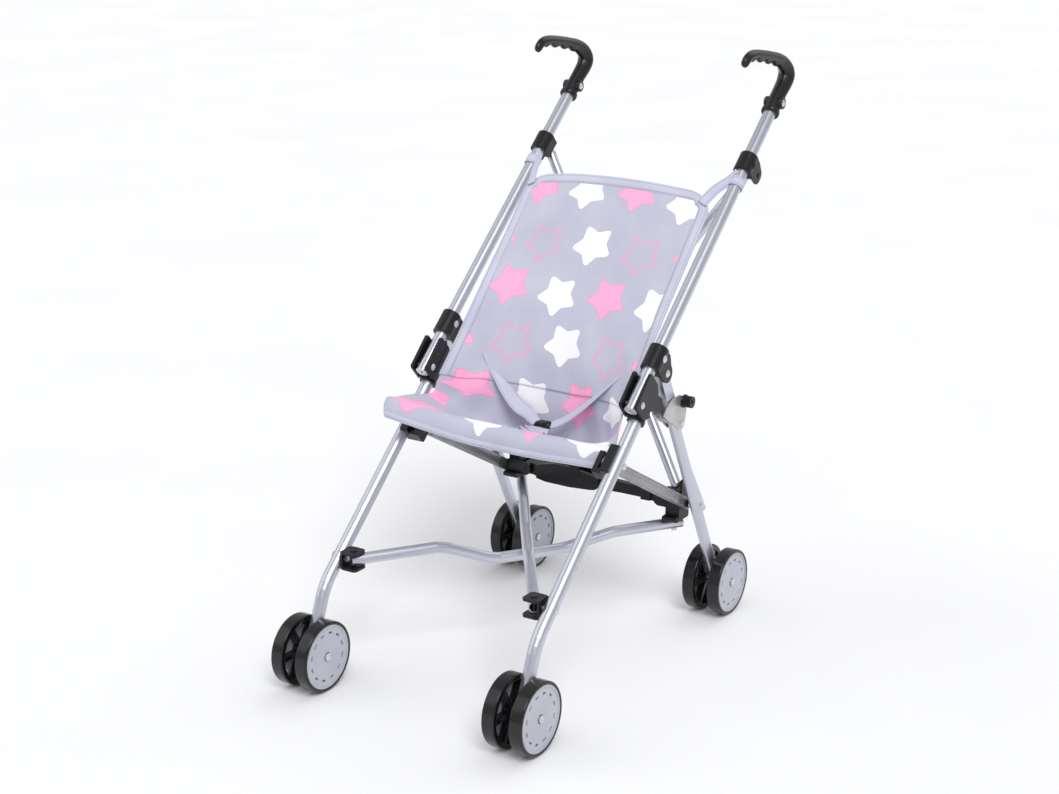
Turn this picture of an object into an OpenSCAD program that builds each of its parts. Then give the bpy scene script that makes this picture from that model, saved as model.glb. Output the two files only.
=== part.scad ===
// Umbrella-fold doll stroller: two tube side frames, folding X braces, twin
// wheels at each corner and a fabric sling seat. Millimetres, +Z up, the
// stroller faces -Y, and the origin is on the floor under its middle.

/* [Frame] */
// Distance from the middle plane to the plane of each side frame
half_gap = 116; // [115:0.5:118]
// Distance between the front and rear axles
wheelbase = 360; // [358:0.5:362]
// Outer diameter of the leg and handle tubes
tube_d = 12.5; // [12.3:0.1:12.5]
// Wall of the leg and handle tubes
tube_wall = 1.2; // [1:0.1:1.4]
// Slope of the front leg above its knee
leg_angle = 42.5; // [42.4:0.05:42.6]
// Slope of the handle tube
handle_angle = 41.4; // [41.3:0.05:41.5]
// Length of the handle tube above its pivot
handle_length = 372; // [370:1:374]

/* [Wheels] */
// Outer diameter of a wheel
wheel_d = 67; // [66:0.5:67]
// Width of a wheel
wheel_w = 12.8; // [12:0.1:12.8]
// Distance from the leg plane to the middle of a wheel
wheel_offset = 13.9; // [13.9:0.1:14.5]
// Number of slots in the trim disc
disc_slots = 12; // [6:1:14]
// Number of spokes
spokes = 6; // [3:1:8]

/* [Braces] */
// Diameter of the lower X braces
brace_d = 11; // [10:0.5:11]
// Diameter of the back X braces
back_brace_d = 10; // [9:0.5:10]
// Rearward bow of the left back brace where the two cross
back_bow = 14; // [13:0.5:16]

/* [Fabric] */
// Half width of the back sling
sling_half_w = 103; // [90:1:103]
// Half width of the seat
seat_half_w = 94; // [80:1:94]
// Thickness of the fabric panels
cloth_t = 3; // [2:0.5:4]

/* [Hidden] */
$fn = 64;
fit = 0.05;
wheel_r = wheel_d / 2;
tube_r = tube_d / 2;
brace_r = brace_d / 2;
back_r = back_brace_d / 2;
// Y of the middle of the stroller, measured rearward from the front axle
mid_y = 229.9;
pin_r = 2;
axle_r = 2.5;

// Points in the plane of a side frame: rearward of the front axle, above floor
front_axle = [0, wheel_r];
rear_axle = [wheelbase, wheel_r];
leg_start = [44.5, 111.9];
knee = [22.3, 91.6];
foot = [-3.2, 25.1];
handle_pivot = [186.5, 263.5];
collar_pivot = [234.5, 281.5];
link_front = [160, 212.5];
link_rear = [315, 126];
clamp_pivot = [46, 113.3];
brace_rear = [318, 113.3];
back_top = [408.5, 438.5];
back_low = [320, 142];
latch_pivot = [268, 224.5];
back_path = [[353, 430], [330, 403], [300, 366], [272, 324], [252, 282], [240, 240]];
leg_top_u = 204.5;

// Lateral positions of the brace pins, measured in from the leg plane
clamp_in = 17;
block_in = 26;
top_in = 4;
link_in = 12;

// Lengths and angles that follow from the points
rear_angle = atan2(rear_axle.y - collar_pivot.y, rear_axle.x - collar_pivot.x);
rear_length = norm(rear_axle - collar_pivot);
link_angle = atan2(link_rear.y - link_front.y, link_rear.x - link_front.x);
link_length = norm(link_rear - link_front);
brace_span = norm(brace_rear - clamp_pivot);
brace_cross = 2 * half_gap - clamp_in - block_in;
brace_length = norm([brace_span, brace_cross]);
brace_yaw = atan2(brace_cross, brace_span);
back_span = norm(back_low - back_top);
back_pitch = atan2(back_low.y - back_top.y, back_low.x - back_top.x);
back_cross = 2 * half_gap - top_in - block_in;
back_length = norm([back_span, back_cross]);
back_yaw = atan2(back_cross, back_span);

// Rear joint block and lock bar
block_y0 = 307;
block_y1 = 327;
bar_y = 317;
bar_x = 79;
bar_z_right = 130;
bar_z_left = 128;
bar_right_length = 80;
bar_tilt = atan2(bar_z_right - bar_z_left, 2 * bar_x);
bar_left_length = norm([2 * bar_x, bar_z_right - bar_z_left]) - bar_right_length;

// Harness webbing
strap_w = 15;
strap_t = 1.5;

// ---- frames of reference ----

// Draws in the plane of the left side frame: x rearward, y up, z outward
module side_plane(x = half_gap) {
    translate([x, -mid_y, 0]) rotate([90, 0, 90]) children();
}

// Draws along the front leg: x up the leg, y square to it, z outward
module along_leg() {
    side_plane() translate(leg_start) rotate(leg_angle) children();
}

// Draws along the handle: x up the handle from its pivot, y to the upper front
module along_handle() {
    side_plane() translate(handle_pivot) rotate(handle_angle) children();
}

// Draws along the rear leg: x down the leg from the collar pivot, y rearward
module along_rear_leg() {
    side_plane() translate(collar_pivot) rotate(rear_angle) children();
}

module on_right() {
    mirror([1, 0, 0]) children();
}

// ---- building blocks ----

function heading(a, b) = atan2(b.y - a.y, b.x - a.x);
function wrapped(t) = t > 180 ? t - 360 : (t < -180 ? t + 360 : t);
function turn(a, b, c) = wrapped(heading(b, c) - heading(a, b));
function setback(pts, i, bend) =
    (i == 0 || i == len(pts) - 1) ? 0
    : bend * tan(abs(turn(pts[i - 1], pts[i], pts[i + 1])) / 2);

// Path with each corner replaced by short chords that wrap a round bend
function rounded_path(pts, bend, steps = 4) = [
    for (i = [0:len(pts) - 1])
        if (i == 0 || i == len(pts) - 1) pts[i]
        else let (back = setback(pts, i, bend), a = heading(pts[i - 1], pts[i]),
                  bent = turn(pts[i - 1], pts[i], pts[i + 1]), side = bent > 0 ? 1 : -1,
                  start = pts[i] - back * [cos(a), sin(a)],
                  centre = start + side * bend * [-sin(a), cos(a)],
                  outer = bend / cos(bent / steps / 2))
            for (k = [0:steps - 1])
                let (w = a - side * 90 + (k + 0.5) * bent / steps)
                centre + outer * [cos(w), sin(w)]
];

// Direction square to the mitre at a point of a path
function seam(pts, i) =
    i == 0 ? heading(pts[0], pts[1])
    : i == len(pts) - 1 ? heading(pts[i - 1], pts[i])
    : heading(pts[i - 1], pts[i]) + turn(pts[i - 1], pts[i], pts[i + 1]) / 2;

// Points round one mitre of a flat path, from its left side over the top
function mitre_ring(pts, i, r, sides) =
    let (c = pts[i], square = seam(pts, i) + 90,
         half = seam(pts, i) - heading(pts[max(i - 1, 0)], pts[max(i, 1)]),
         wide = i == 0 ? r : r / cos(half))
    [for (k = [0:sides - 1]) let (a = 360 * k / sides)
        [c.x + wide * cos(a) * cos(square), c.y + wide * cos(a) * sin(square), r * sin(a)]];

// Round rod along a flat path, in straight mitred lengths
module bent_rod(pts, r, sides = 32) {
    last = len(pts) - 1;
    points = [for (i = [0:last]) for (p = mitre_ring(pts, i, r, sides)) p];
    walls = [for (i = [0:last - 1]) for (k = [0:sides - 1]) let (n = (k + 1) % sides)
        [i * sides + k, (i + 1) * sides + k, (i + 1) * sides + n, i * sides + n]];
    near_end = [[for (k = [0:sides - 1]) k]];
    far_end = [[for (k = [sides - 1:-1:0]) last * sides + k]];
    polyhedron(points, concat(walls, near_end, far_end));
}

// Path made longer by t at both ends
function stretched(pts, t) =
    let (last = len(pts) - 1, a = heading(pts[0], pts[1]),
         b = heading(pts[last - 1], pts[last]))
    [for (i = [0:last]) i == 0 ? pts[0] - t * [cos(a), sin(a)]
        : i == last ? pts[last] + t * [cos(b), sin(b)] : pts[i]];

// Rod, or tube if it has a wall, along a flat path
module mitred(pts, r, wall = 0) {
    difference() {
        bent_rod(pts, r);
        if (wall > 0) bent_rod(stretched(pts, 1), r - wall);
    }
}

// Point beside a path of points, t to its left
function side_of(pts, i, t) =
    let (a = pts[max(i - 1, 0)], b = pts[min(i + 1, len(pts) - 1)], d = (b - a) / norm(b - a))
    pts[i] + t * [-d.y, d.x];

// Band along a path, with its half thickness given at each point
module tapered_band(pts, half) {
    last = len(pts) - 1;
    polygon(concat([for (i = [0:last]) side_of(pts, i, half[i])],
                   [for (i = [last:-1:0]) side_of(pts, i, -half[i])]));
}

// Band of even thickness along a path
module band(pts, t) {
    tapered_band(pts, [for (p = pts) t / 2]);
}

// Hole through everything along z
module cross_hole(at, r = pin_r + fit, depth = 60) {
    translate([at.x, at.y, -depth / 2]) cylinder(r = r, h = depth);
}

// Domed rivet head standing on a face at height z, pointing to +z or -z
module dome_head(at, z, r = 3.4, h = 1.6, up = true) {
    ball = (r * r + h * h) / (2 * h);
    translate([at.x, at.y, z]) mirror([0, 0, up ? 0 : 1]) rotate_extrude()
        intersection() {
            translate([0, h - ball]) circle(r = ball);
            square([r, h]);
        }
}

module rod(at, z0, z1, r) {
    translate([at.x, at.y, z0]) cylinder(r = r, h = z1 - z0);
}

// Flat plate with rounded corners from x0,y0 to x1,y1 and z0 to z1
module round_plate(x0, y0, x1, y1, z0, z1, r) {
    translate([0, 0, z0]) linear_extrude(z1 - z0) rounded(x0, y0, x1, y1, r);
}

module rounded(x0, y0, x1, y1, r) {
    translate([x0 + r, y0]) square([x1 - x0 - 2 * r, y1 - y0]);
    translate([x0, y0 + r]) square([x1 - x0, y1 - y0 - 2 * r]);
    for (x = [x0 + r, x1 - r], y = [y0 + r, y1 - r]) translate([x, y]) circle(r = r);
}

// ---- side frame, drawn for the left side ----

module front_leg() {
    top = leg_start + leg_top_u * [cos(leg_angle), sin(leg_angle)];
    path = [foot, knee, top];
    color("silver") side_plane() difference() {
        mitred(rounded_path(path, 60), tube_r, tube_wall);
        cross_hole(front_axle, axle_r + fit);
        cross_hole(clamp_pivot, 2.5 + fit);
        cross_hole(link_front);
    }
}

// Trough that holds the foot of the handle, on a ferrule over the leg top
module leg_bracket(with_catch) {
    color("black") {
        difference() {
            union() {
                along_handle() translate([0, 0, -9.6]) linear_extrude(19.2) polygon([
                    [-8.5, -11], [-8.5, 6], [-7, 8.5], [27.5, 10.2], [29.2, 8.4], [29.2, -8],
                    [24.5, -16], [4.6, -16.2], [0, -19.5], [-4, -16.5]]);
                along_leg() rotate([0, 90, 0]) {
                    translate([0, 0, 197]) cylinder(r = 7.9, h = 8.5);
                    translate([0, 0, 197]) cylinder(r = 8.5, h = 3);
                    translate([0, 0, 204]) cylinder(r = 6.6, h = 9);
                }
            }
            along_handle() {
                translate([-12, -7.2, -6.9]) cube([50, 30, 13.8]);
                rod([0, 0], -6.9, 6.9, 10.4);
                cross_hole([0, 0]);
            }
            along_leg() rotate([0, 90, 0]) cylinder(r = tube_r + fit, h = leg_top_u);
        }
        along_leg() rotate([0, 90, 0]) translate([0, 0, 182])
            cylinder(r = tube_r - tube_wall - fit, h = 24);
        if (with_catch) side_plane() translate([0, 0, -4.2]) linear_extrude(8.4) polygon([
            [206, 262], [214, 270], [224, 263.5], [232.5, 257], [235, 249.5], [233.5, 243],
            [228, 246], [220, 249], [207, 251]]);
    }
}

// Saddle on the inner side of the leg with an ear that carries the side link
module seat_bracket() {
    at = [153.1, -3.9];
    color("black") along_leg() difference() {
        union() {
            round_plate(139, -9.5, 168, 8.5, -9.2, -1, 2);
            round_plate(139, -11.5, 144.5, 3.5, -19.5, -2, 2);
            round_plate(139, -11.5, 162, 3.5, -19.5, -14.8, 2);
        }
        rotate([0, 90, 0]) cylinder(r = tube_r + fit, h = 200);
        cross_hole(at);
    }
}

// Rivets and pins fixed in the side frame
module frame_fixings() {
    u_rivet = [153.1, -3.9];
    color("lightgray") {
        along_leg() {
            rod(u_rivet, -20.4, 6.4, pin_r);
            dome_head(u_rivet, 6.3, 3.4, 1.6);
            dome_head(u_rivet, -19.5, 3.2, 1.4, false);
        }
        side_plane() {
            rod(clamp_pivot, -9.1, 6.6, 2.5);
            rod(clamp_pivot, -10.1, -9.1, 4);
            dome_head(clamp_pivot, 6.3, 3.6, 1.6);
        }
        along_handle() {
            rod([0, 0], -9.6, 9.6, pin_r);
            dome_head([0, 0], 9.6, 3.4, 1.5);
            dome_head([0, 0], -9.6, 3.4, 1.5, false);
        }
    }
}

// ---- handle, drawn for the left side ----

module handle_tube() {
    color("silver") along_handle() difference() {
        translate([-6.6, 0, 0]) rotate([0, 90, 0]) cylinder(r = tube_r, h = handle_length + 6.6);
        translate([-7, 0, 0]) rotate([0, 90, 0])
            cylinder(r = tube_r - tube_wall, h = handle_length + 8);
        cross_hole([0, 0]);
        cross_hole([52.4, -0.8]);
        cross_hole([362, 0]);
    }
}

// Collar riveted to the handle, with two cheeks for the top of the rear leg
module collar() {
    at = [47.9, -18.2];
    color("black") along_handle() difference() {
        union() {
            translate([38, 0, 0]) rotate([0, 90, 0]) cylinder(r = 9.5, h = 24);
            translate([0, 0, -8.4]) linear_extrude(16.8) {
                polygon([[38, 0], [62, 0], [62, -9], [56.7, -18.2], [39.1, -18.2], [38, -9]]);
                translate(at) circle(r = 8.8);
            }
        }
        translate([30, 0, 0]) rotate([0, 90, 0]) cylinder(r = tube_r + fit, h = 40);
        translate([30, -40, -4.9]) cube([40, 29.7, 9.8]);
        cross_hole([52.4, -0.8]);
        cross_hole(at);
    }
}

// Hooked grip moulded over the top of the handle tube, thick at its rear bend
module grip() {
    path = [[349, 0], [408, 0], [349.8, 79], [336, 77.8]];
    spine = [[350, 0], [374, 0], [389, -0.5], [397.5, 1], [400, 10], [395, 24], [385, 39],
             [370.4, 57.5], [354.5, 74.5], [343.8, 79.5], [335, 78.2]];
    half = [8, 8, 8.6, 9.4, 8.6, 6.9, 6.1, 5.8, 5.5, 5.2, 5];
    color("black") along_handle() difference() {
        union() {
            mitred(rounded_path(path, 10, 6), 6);
            translate([0, 0, -4.2]) linear_extrude(8.4) tapered_band(spine, half);
            translate([348, 0, 0]) rotate([0, 90, 0]) cylinder(r = 8.2, h = 27);
            translate([375, 0, 0]) rotate([0, 90, 0]) cylinder(r1 = 8.2, r2 = 6, h = 9);
            translate([336, 77.8, 0]) sphere(r = 6, $fn = 24);
            rod([362, 0], -9.6, 9.6, 6);
        }
        translate([340, 0, 0]) rotate([0, 90, 0])
            cylinder(r = tube_r + fit, h = handle_length + 0.2 - 340);
        cross_hole([362, 0]);
    }
}

// Rivets in the handle and the plug in its lower end
module handle_fixings() {
    collar_at = [47.9, -18.2];
    color("lightgray") along_handle() {
        rod([52.4, -0.8], -9.5, 9.5, pin_r);
        dome_head([52.4, -0.8], 9.5, 3.6, 1.6);
        dome_head([52.4, -0.8], -9.5, 3.6, 1.6, false);
        rod(collar_at, -8.4, 8.4, pin_r);
        dome_head(collar_at, 8.4, 3.6, 1.6);
        dome_head(collar_at, -8.4, 3.6, 1.6, false);
        rod([362, 0], -9.6, 9.6, pin_r);
        dome_head([362, 0], 9.6, 3.4, 1.5);
        dome_head([362, 0], -9.6, 3.4, 1.5, false);
        rotate([0, 90, 0]) difference() {
            union() {
                translate([0, 0, -7.8]) cylinder(r = tube_r, h = 1.2);
                translate([0, 0, -7]) cylinder(r = tube_r - tube_wall - fit, h = 3.6);
            }
            translate([0, 0, -9]) cylinder(r = 1.6, h = 3);
        }
    }
}

// Clip that slides on the handle and carries the top of a back brace
module top_clip() {
    h = 282.5;
    ball = [h, -15.5];
    color("black") along_handle() difference() {
        union() {
            translate([h - 10, 0, 0]) rotate([0, 90, 0]) cylinder(r = 9.2, h = 20);
            translate([0, 0, -9]) linear_extrude(18) polygon([
                [h - 10, 0], [h + 10, 0], [h + 10, -8], [h + 6.5, -19], [h + 2, -21.5],
                [h - 4, -21.5], [h - 8, -19], [h - 10, -8]]);
        }
        translate([h - 15, 0, 0]) rotate([0, 90, 0]) cylinder(r = tube_r + fit, h = 30);
        translate([h - 15, -40, -20]) cube([30, 30.6, 26.3]);
    }
    color("lightgray") along_handle() {
        dome_head([h, -0.5], 9.2, 3.4, 1.5);
        dome_head(ball, 9, 3.2, 1.4);
    }
}

// ---- rear leg, drawn for the left side ----

module rear_leg(with_latch) {
    half_t = 4.5;
    color("silver") difference() {
        along_rear_leg() rear_leg_tube(half_t);
        if (with_latch) side_plane() cross_hole(latch_pivot);
    }
    color("lightgray") side_plane() {
        rod(link_rear, -7, half_t, axle_r);
        dome_head(link_rear, half_t, 3.6, 1.6);
        rod(link_rear, -7, -half_t, 4);
    }
}

// Oval tube with a flat top end and a fin behind its middle
module rear_leg_tube(half_t) {
    difference() {
        union() {
            round_plate(-4, -7, 60, 7, -half_t, half_t, 3);
            rod([0, 0], -half_t, half_t, 7.3);
            stadium_bar(4, rear_length + 8.5, 12.6, half_t);
            translate([0, 0, -3.4]) linear_extrude(6.8) polygon([
                [118, 4], [183.5, 10.8], [187, 11.4], [186, 6], [176, 4]]);
        }
        stadium_bar(16, rear_length + 10, 10.2, half_t - 1.2);
        cross_hole([0, 0]);
        cross_hole([rear_length, 0], axle_r + fit);
    }
}

// Flattened tube section, wide in the plane of the side frame
module stadium_bar(x0, x1, wide, half_t) {
    y = wide / 2 - half_t;
    translate([x0, -y, -half_t]) cube([x1 - x0, 2 * y, 2 * half_t]);
    for (s = [-1, 1]) translate([x0, s * y, 0]) rotate([0, 90, 0])
        cylinder(r = half_t, h = x1 - x0);
}

// ---- links and joints at the rear, drawn for the left side ----

// Grooved oval bar from the seat bracket to the rear joint
module side_link() {
    color("gray") side_plane(half_gap - link_in) translate(link_front) rotate(link_angle)
        difference() {
            union() {
                rod([0, 0], -2.3, 2.3, 6.3);
                rod([link_length, 0], -2.3, 2.3, 6.3);
                round_plate(0, -5.6, link_length, 5.6, -2.3, 2.3, 1);
                stadium_bar(20, link_length - 24, 12, 3.6);
            }
            for (s = [-1, 1]) translate([24, -1.2, s > 0 ? 3.1 : -5.1])
                cube([link_length - 52, 2.4, 2]);
            cross_hole([0, 0]);
            cross_hole([link_length, 0], axle_r + fit);
        }
}

// Block at the rear pivot: carries the lock bar and the ends of both braces
module rear_joint(floor_z, bar_z) {
    x0 = 85.8;
    x1 = 101.3;
    hook_y = block_y0 - 7;
    color("black") translate([0, -mid_y, 0]) difference() {
        union() {
            translate([x0, 0, 0]) rotate([90, 0, 90]) linear_extrude(x1 - x0) {
                rounded(block_y0, floor_z, block_y1, 136, 2);
                rounded(hook_y, floor_z, block_y0 + 6, floor_z + 5, 2);
            }
            translate([98.2, 0, 0]) rotate([90, 0, 90]) linear_extrude(x1 - 98.2) {
                rounded(312, 130, 328, 149, 4);
            }
            for (y = [block_y0 - 1, block_y1 - 2.5]) translate([0, y, 0]) rotate([-90, 0, 0])
                linear_extrude(3.5) {
                    translate([bar_x, -bar_z]) circle(r = 7);
                    translate([bar_x, -bar_z - 7]) square([x0 + 0.5 - bar_x, 14]);
                }
        }
        translate([bar_x, block_y0 - 5, bar_z]) rotate([-90, 0, 0])
            cylinder(r = pin_r, h = 30);
    }
    color("lightgray") translate([0, -mid_y, 0]) {
        translate([bar_x, block_y0 - 1.8, bar_z]) rotate([-90, 0, 0])
            cylinder(r = pin_r, h = block_y1 - block_y0 + 3.6);
        translate([x1 - 8, link_rear.x, link_rear.y]) rotate([0, 90, 0]) {
            cylinder(r = axle_r, h = 14);
            translate([0, 0, 13.2]) cylinder(r = 4, h = 1.6);
        }
    }
    color("lightgray") side_plane(0) {
        dome_head(back_low, x1, 3, 0.3);
    }
}

// Clamp on the front leg that carries the front of a lower brace
module front_clamp() {
    z = clamp_pivot.y;
    pin = [half_gap - clamp_in, clamp_pivot.x - mid_y];
    color("black") difference() {
        union() {
            for (s = [-8.8, 6.3]) translate([0, 0, z + s]) linear_extrude(2.5)
                rounded(pin.x - 8, pin.y - 9, 108.9, pin.y + 9, 4);
            translate([106.9, pin.y - 8, z - 8.8]) cube([2, 16, 17.6]);
        }
        translate([pin.x, pin.y, z - 12]) cylinder(r = pin_r, h = 24);
        translate([90, pin.y, z]) rotate([0, 90, 0]) cylinder(r = 2.5 + fit, h = 30);
    }
    color("lightgray") {
        translate([pin.x, pin.y, z - 9.4]) cylinder(r = pin_r, h = 18.8);
        for (s = [-1, 1]) translate([pin.x, pin.y, z + s * 9.1]) cylinder(r = 3.4, h = 1.2, center = true);
    }
}

// Lower X brace: from the clamp on this side to the block on the other side.
// dip lowers the tube where the two cross, and end_drop lowers its rear end.
module lower_brace(dip, end_drop) {
    path = [[-3, 0], [0.26 * brace_length, 0], [0.42 * brace_length, -dip],
            [0.64 * brace_length, -dip], [0.8 * brace_length, -end_drop],
            [brace_length + 8, -end_drop]];
    end = [brace_length, -end_drop];
    color("silver") side_plane(half_gap - clamp_in) translate(clamp_pivot)
        rotate([0, brace_yaw, 0]) difference() {
            union() {
                mitred(rounded_path(path, 60, 2), brace_r, tube_wall);
                translate([end.x, end.y - brace_r + 1, 0]) rotate([90, 0, 0])
                    cylinder(r = 2.7, h = 2.8);
            }
            rotate([90, 0, 0]) translate([0, 0, -10]) cylinder(r = pin_r + fit, h = 20);
        }
    color("lightgray") side_plane(half_gap - clamp_in) translate(clamp_pivot)
        rotate([0, brace_yaw, 0]) translate([end.x, end.y, 0]) rotate([90, 0, 0]) {
            translate([0, 0, -brace_r + 0.4]) cylinder(r = 2, h = 2 * brace_r + 1.8);
        }
}

// Back X brace: from the top clip on this side to the block on the other side
module back_brace(bow) {
    l = back_length;
    path = [[0, 0], [0.26 * l, 0], [0.42 * l, bow], [0.62 * l, bow], [0.78 * l, 0], [l, 0]];
    color("silver") side_plane(half_gap - top_in) translate(back_top)
        rotate([0, 0, back_pitch]) rotate([0, back_yaw, 0]) {
            if (bow > 0) mitred(rounded_path(path, 50, 3), back_r);
            else rotate([0, 90, 0]) cylinder(r = back_r, h = l);
            sphere(r = 5.4);
            translate([l, 0, 0]) sphere(r = back_r + 0.2);
        }
}

// ---- lock bar ----

// Right half: a ribbed channel with a pedal tooth, open at its inner end
module lock_bar_right() {
    l = bar_right_length;
    color("black") translate([-bar_x, bar_y - mid_y, bar_z_right]) rotate([0, bar_tilt, 0]) {
        difference() {
            union() {
                rotate([90, 0, 0]) translate([0, 0, -6.6]) cylinder(r = 6.2, h = 13.2);
                translate([0, -6.6, -6]) cube([16, 13.2, 12]);
                for (s = [-1, 1]) translate([0, s * 7, 0]) rotate([90, 0, 0])
                    translate([0, 0, -2]) linear_extrude(4) {
                        polygon([[13, -8], [13, 6], [22, 8.5], [34, 11.5], [52, 11.5], [l - 2, 8],
                                 [l + 5, 5], [l + 5, -5], [l - 2, -8], [52, -10], [24, -10]]);
                        translate([l, 0]) circle(r = 7.5);
                    }
                translate([10, -8, -6]) cube([8, 16, 12]);
                translate([18, -8, 5.5]) cube([14, 16, 2.5]);
                for (x = [24, 31]) translate([x, -8, -8]) cube([2, 16, 15]);
                translate([52, -9, 9]) cube([12, 4, 9]);
            }
            rotate([90, 0, 0]) translate([0, 0, -10]) cylinder(r = pin_r + fit, h = 20);
            translate([36, -5, -20]) cube([l, 10, 28]);
        }
        for (s = [-1, 1]) translate([l, s * 9, 0]) rotate([90, 0, 0])
            cylinder(r = 2.8, h = 1.6, center = true);
    }
}

// Left half: a blade that folds between the plates of the right half
module lock_bar_left() {
    l = bar_left_length;
    color("black") translate([bar_x, bar_y - mid_y, bar_z_left]) rotate([0, bar_tilt, 0])
        mirror([1, 0, 0]) difference() {
            union() {
                rotate([90, 0, 0]) translate([0, 0, -6.6]) cylinder(r = 6.2, h = 13.2);
                translate([0, -6.6, -5.2]) cube([14, 13.2, 10.4]);
                rotate([90, 0, 0]) translate([0, 0, -9]) linear_extrude(18)
                    polygon([[11.5, -5], [11.5, 5], [22, 5.4], [22, -5.4]]);
                rotate([90, 0, 0]) translate([0, 0, -3.6]) linear_extrude(7.2) {
                    polygon([[8, -5], [8, 5], [l - 30, 5.6], [l, 7], [l, -7], [l - 30, -5.6]]);
                    translate([l, 0]) circle(r = 7.5);
                }
            }
            rotate([90, 0, 0]) translate([0, 0, -10]) cylinder(r = pin_r + fit, h = 20);
        }
}

// ---- safety latch on the left rear leg ----

// Folded sheet: two fan plates beside the rear leg, joined by a lower flange
module safety_latch() {
    fan = [[253.4, 253.3], [244, 251], [237, 247], [233.5, 241.5], [262, 219.5],
           [267.2, 218.5], [272, 220.5], [276.4, 232.2], [277, 240], [272, 250], [263, 253.5]];
    color("lightgray") side_plane() difference() {
        union() {
            for (z = [-6.4, 5.2]) translate([0, 0, z]) linear_extrude(1.2) polygon(fan);
            translate([0, 0, -6.4]) linear_extrude(12.8)
                polygon([[233.5, 241.5], [247.5, 230.7], [246.7, 229.7], [232.7, 240.5]]);
        }
        translate([220, 230, -4.8]) cube([21, 30, 9.6]);
        cross_hole(latch_pivot);
        cross_hole([271.2, 245.6]);
    }
}

module latch_knob() {
    at = [271.2, 245.6];
    color("black") side_plane() difference() {
        union() {
            rod(at, 6.4, 15.5, 5.6);
            rod(at, 6.4, 8, 6.4);
        }
        rod(at, 5, 20, pin_r);
    }
    color("lightgray") side_plane() {
        rod(at, 5.2, 15.5, pin_r);
        dome_head(at, 15.5, 2.8, 1.2);
    }
}

module latch_rivet() {
    color("lightgray") side_plane() {
        rod(latch_pivot, -7.2, 7.2, pin_r);
        dome_head(latch_pivot, 6.6, 3.2, 1.5);
        dome_head(latch_pivot, -6.6, 3.2, 1.5, false);
    }
}

// ---- wheels, drawn for the left side ----

module wheel_axle(at) {
    color("lightgray") side_plane() {
        rod(at, -20.4, 20.4, axle_r);
        rod(at, 19.2, 20.6, 3.6);
        rod(at, -20.6, -19.2, 3.6);
        rod(at, -7.3, -6.7, 3.6);
        rod(at, 6.7, 7.3, 3.6);
    }
}

// face is 1 for the outer wheel of a pair and -1 for the inner one
module wheel(at, face) {
    half_w = wheel_w / 2;
    disc_r = wheel_r - 3;
    color("black") wheel_place(at, face) difference() {
        union() {
            rotate_extrude() wheel_rim(half_w);
            translate([0, 0, -half_w + 0.2]) cylinder(r = 7, h = wheel_w - 3.4);
            for (i = [0:spokes - 1]) rotate(i * 360 / spokes) translate([5, -2.2, -half_w + 0.6])
                cube([wheel_r - 8.5, 4.4, 7]);
        }
        translate([0, 0, -10]) cylinder(r = axle_r + fit, h = 20);
        translate([0, 0, half_w - 3.5]) cylinder(r = disc_r - 1, h = 8);
    }
}

// Half section of the tyre and rim
module wheel_rim(half_w) {
    difference() {
        union() {
            translate([wheel_r - 5, -half_w + 1.5]) square([5, 2 * half_w - 3]);
            translate([wheel_r - 5, -half_w]) square([3.5, 2 * half_w]);
            for (s = [-1, 1]) translate([wheel_r - 1.5, s * (half_w - 1.5)]) circle(r = 1.5);
        }
        translate([wheel_r - 6, half_w - 3.5]) square([3, 4]);
    }
}

module wheel_place(at, face) {
    side_plane(half_gap + face * wheel_offset) translate(at)
        mirror([0, 0, face > 0 ? 0 : 1]) children();
}

module wheel_disc(at, face) {
    half_w = wheel_w / 2;
    slot_r = 22.7;
    color("lavender") wheel_place(at, face) difference() {
        translate([0, 0, half_w - 3.5 + 0.02]) union() {
            cylinder(r = wheel_r - 3.1, h = 2.3);
            translate([0, 0, 2.2]) rotate_extrude() translate([wheel_r - 5.2, 0]) square([2.1, 0.8]);
        }
        translate([0, 0, 0]) cylinder(r = 4.2, h = 20);
        for (i = [0:disc_slots - 1]) rotate((i + 0.5) * 360 / disc_slots)
            translate([slot_r - 1, -2.4, 0]) cube([2, 4.8, 20]);
    }
}

// ---- fabric ----

module panel(pts, half_w, t) {
    translate([0, 0, -half_w]) linear_extrude(2 * half_w) band(pts, t);
}

module back_sling() {
    color("lavender") side_plane(0) panel(back_path, sling_half_w, cloth_t);
}

module seat_sling() {
    color("lavender") side_plane(0)
        panel([[150, 206], [147, 220], [153, 228], [164, 224], [180, 208], [204, 193],
               [230, 189], [237, 205], [239.4, 236]], seat_half_w, cloth_t);
}

// Two straps that run from the sides of the back down to the buckle
module shoulder_straps() {
    color("plum") for (s = [-1, 1]) hull() {
        translate([s * 92, 253.2 - mid_y, 297]) rotate([0, -45 * s, 0])
            cube([2, strap_t, strap_w], center = true);
        translate([s * 13, 221 - mid_y, 219]) rotate([0, -45 * s, 0])
            cube([2, strap_t, 0.8 * strap_w], center = true);
    }
}

module crotch_strap() {
    color("plum") side_plane(0)
        panel([[193, 205.5], [203, 210], [213.5, 213.5]], 11, 2.5);
}

module buckle() {
    color("black") side_plane(0) translate([219, 215.5, 0]) rotate(15)
        round_plate(-5, -2, 5, 2, -10, 10, 1);
}

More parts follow.
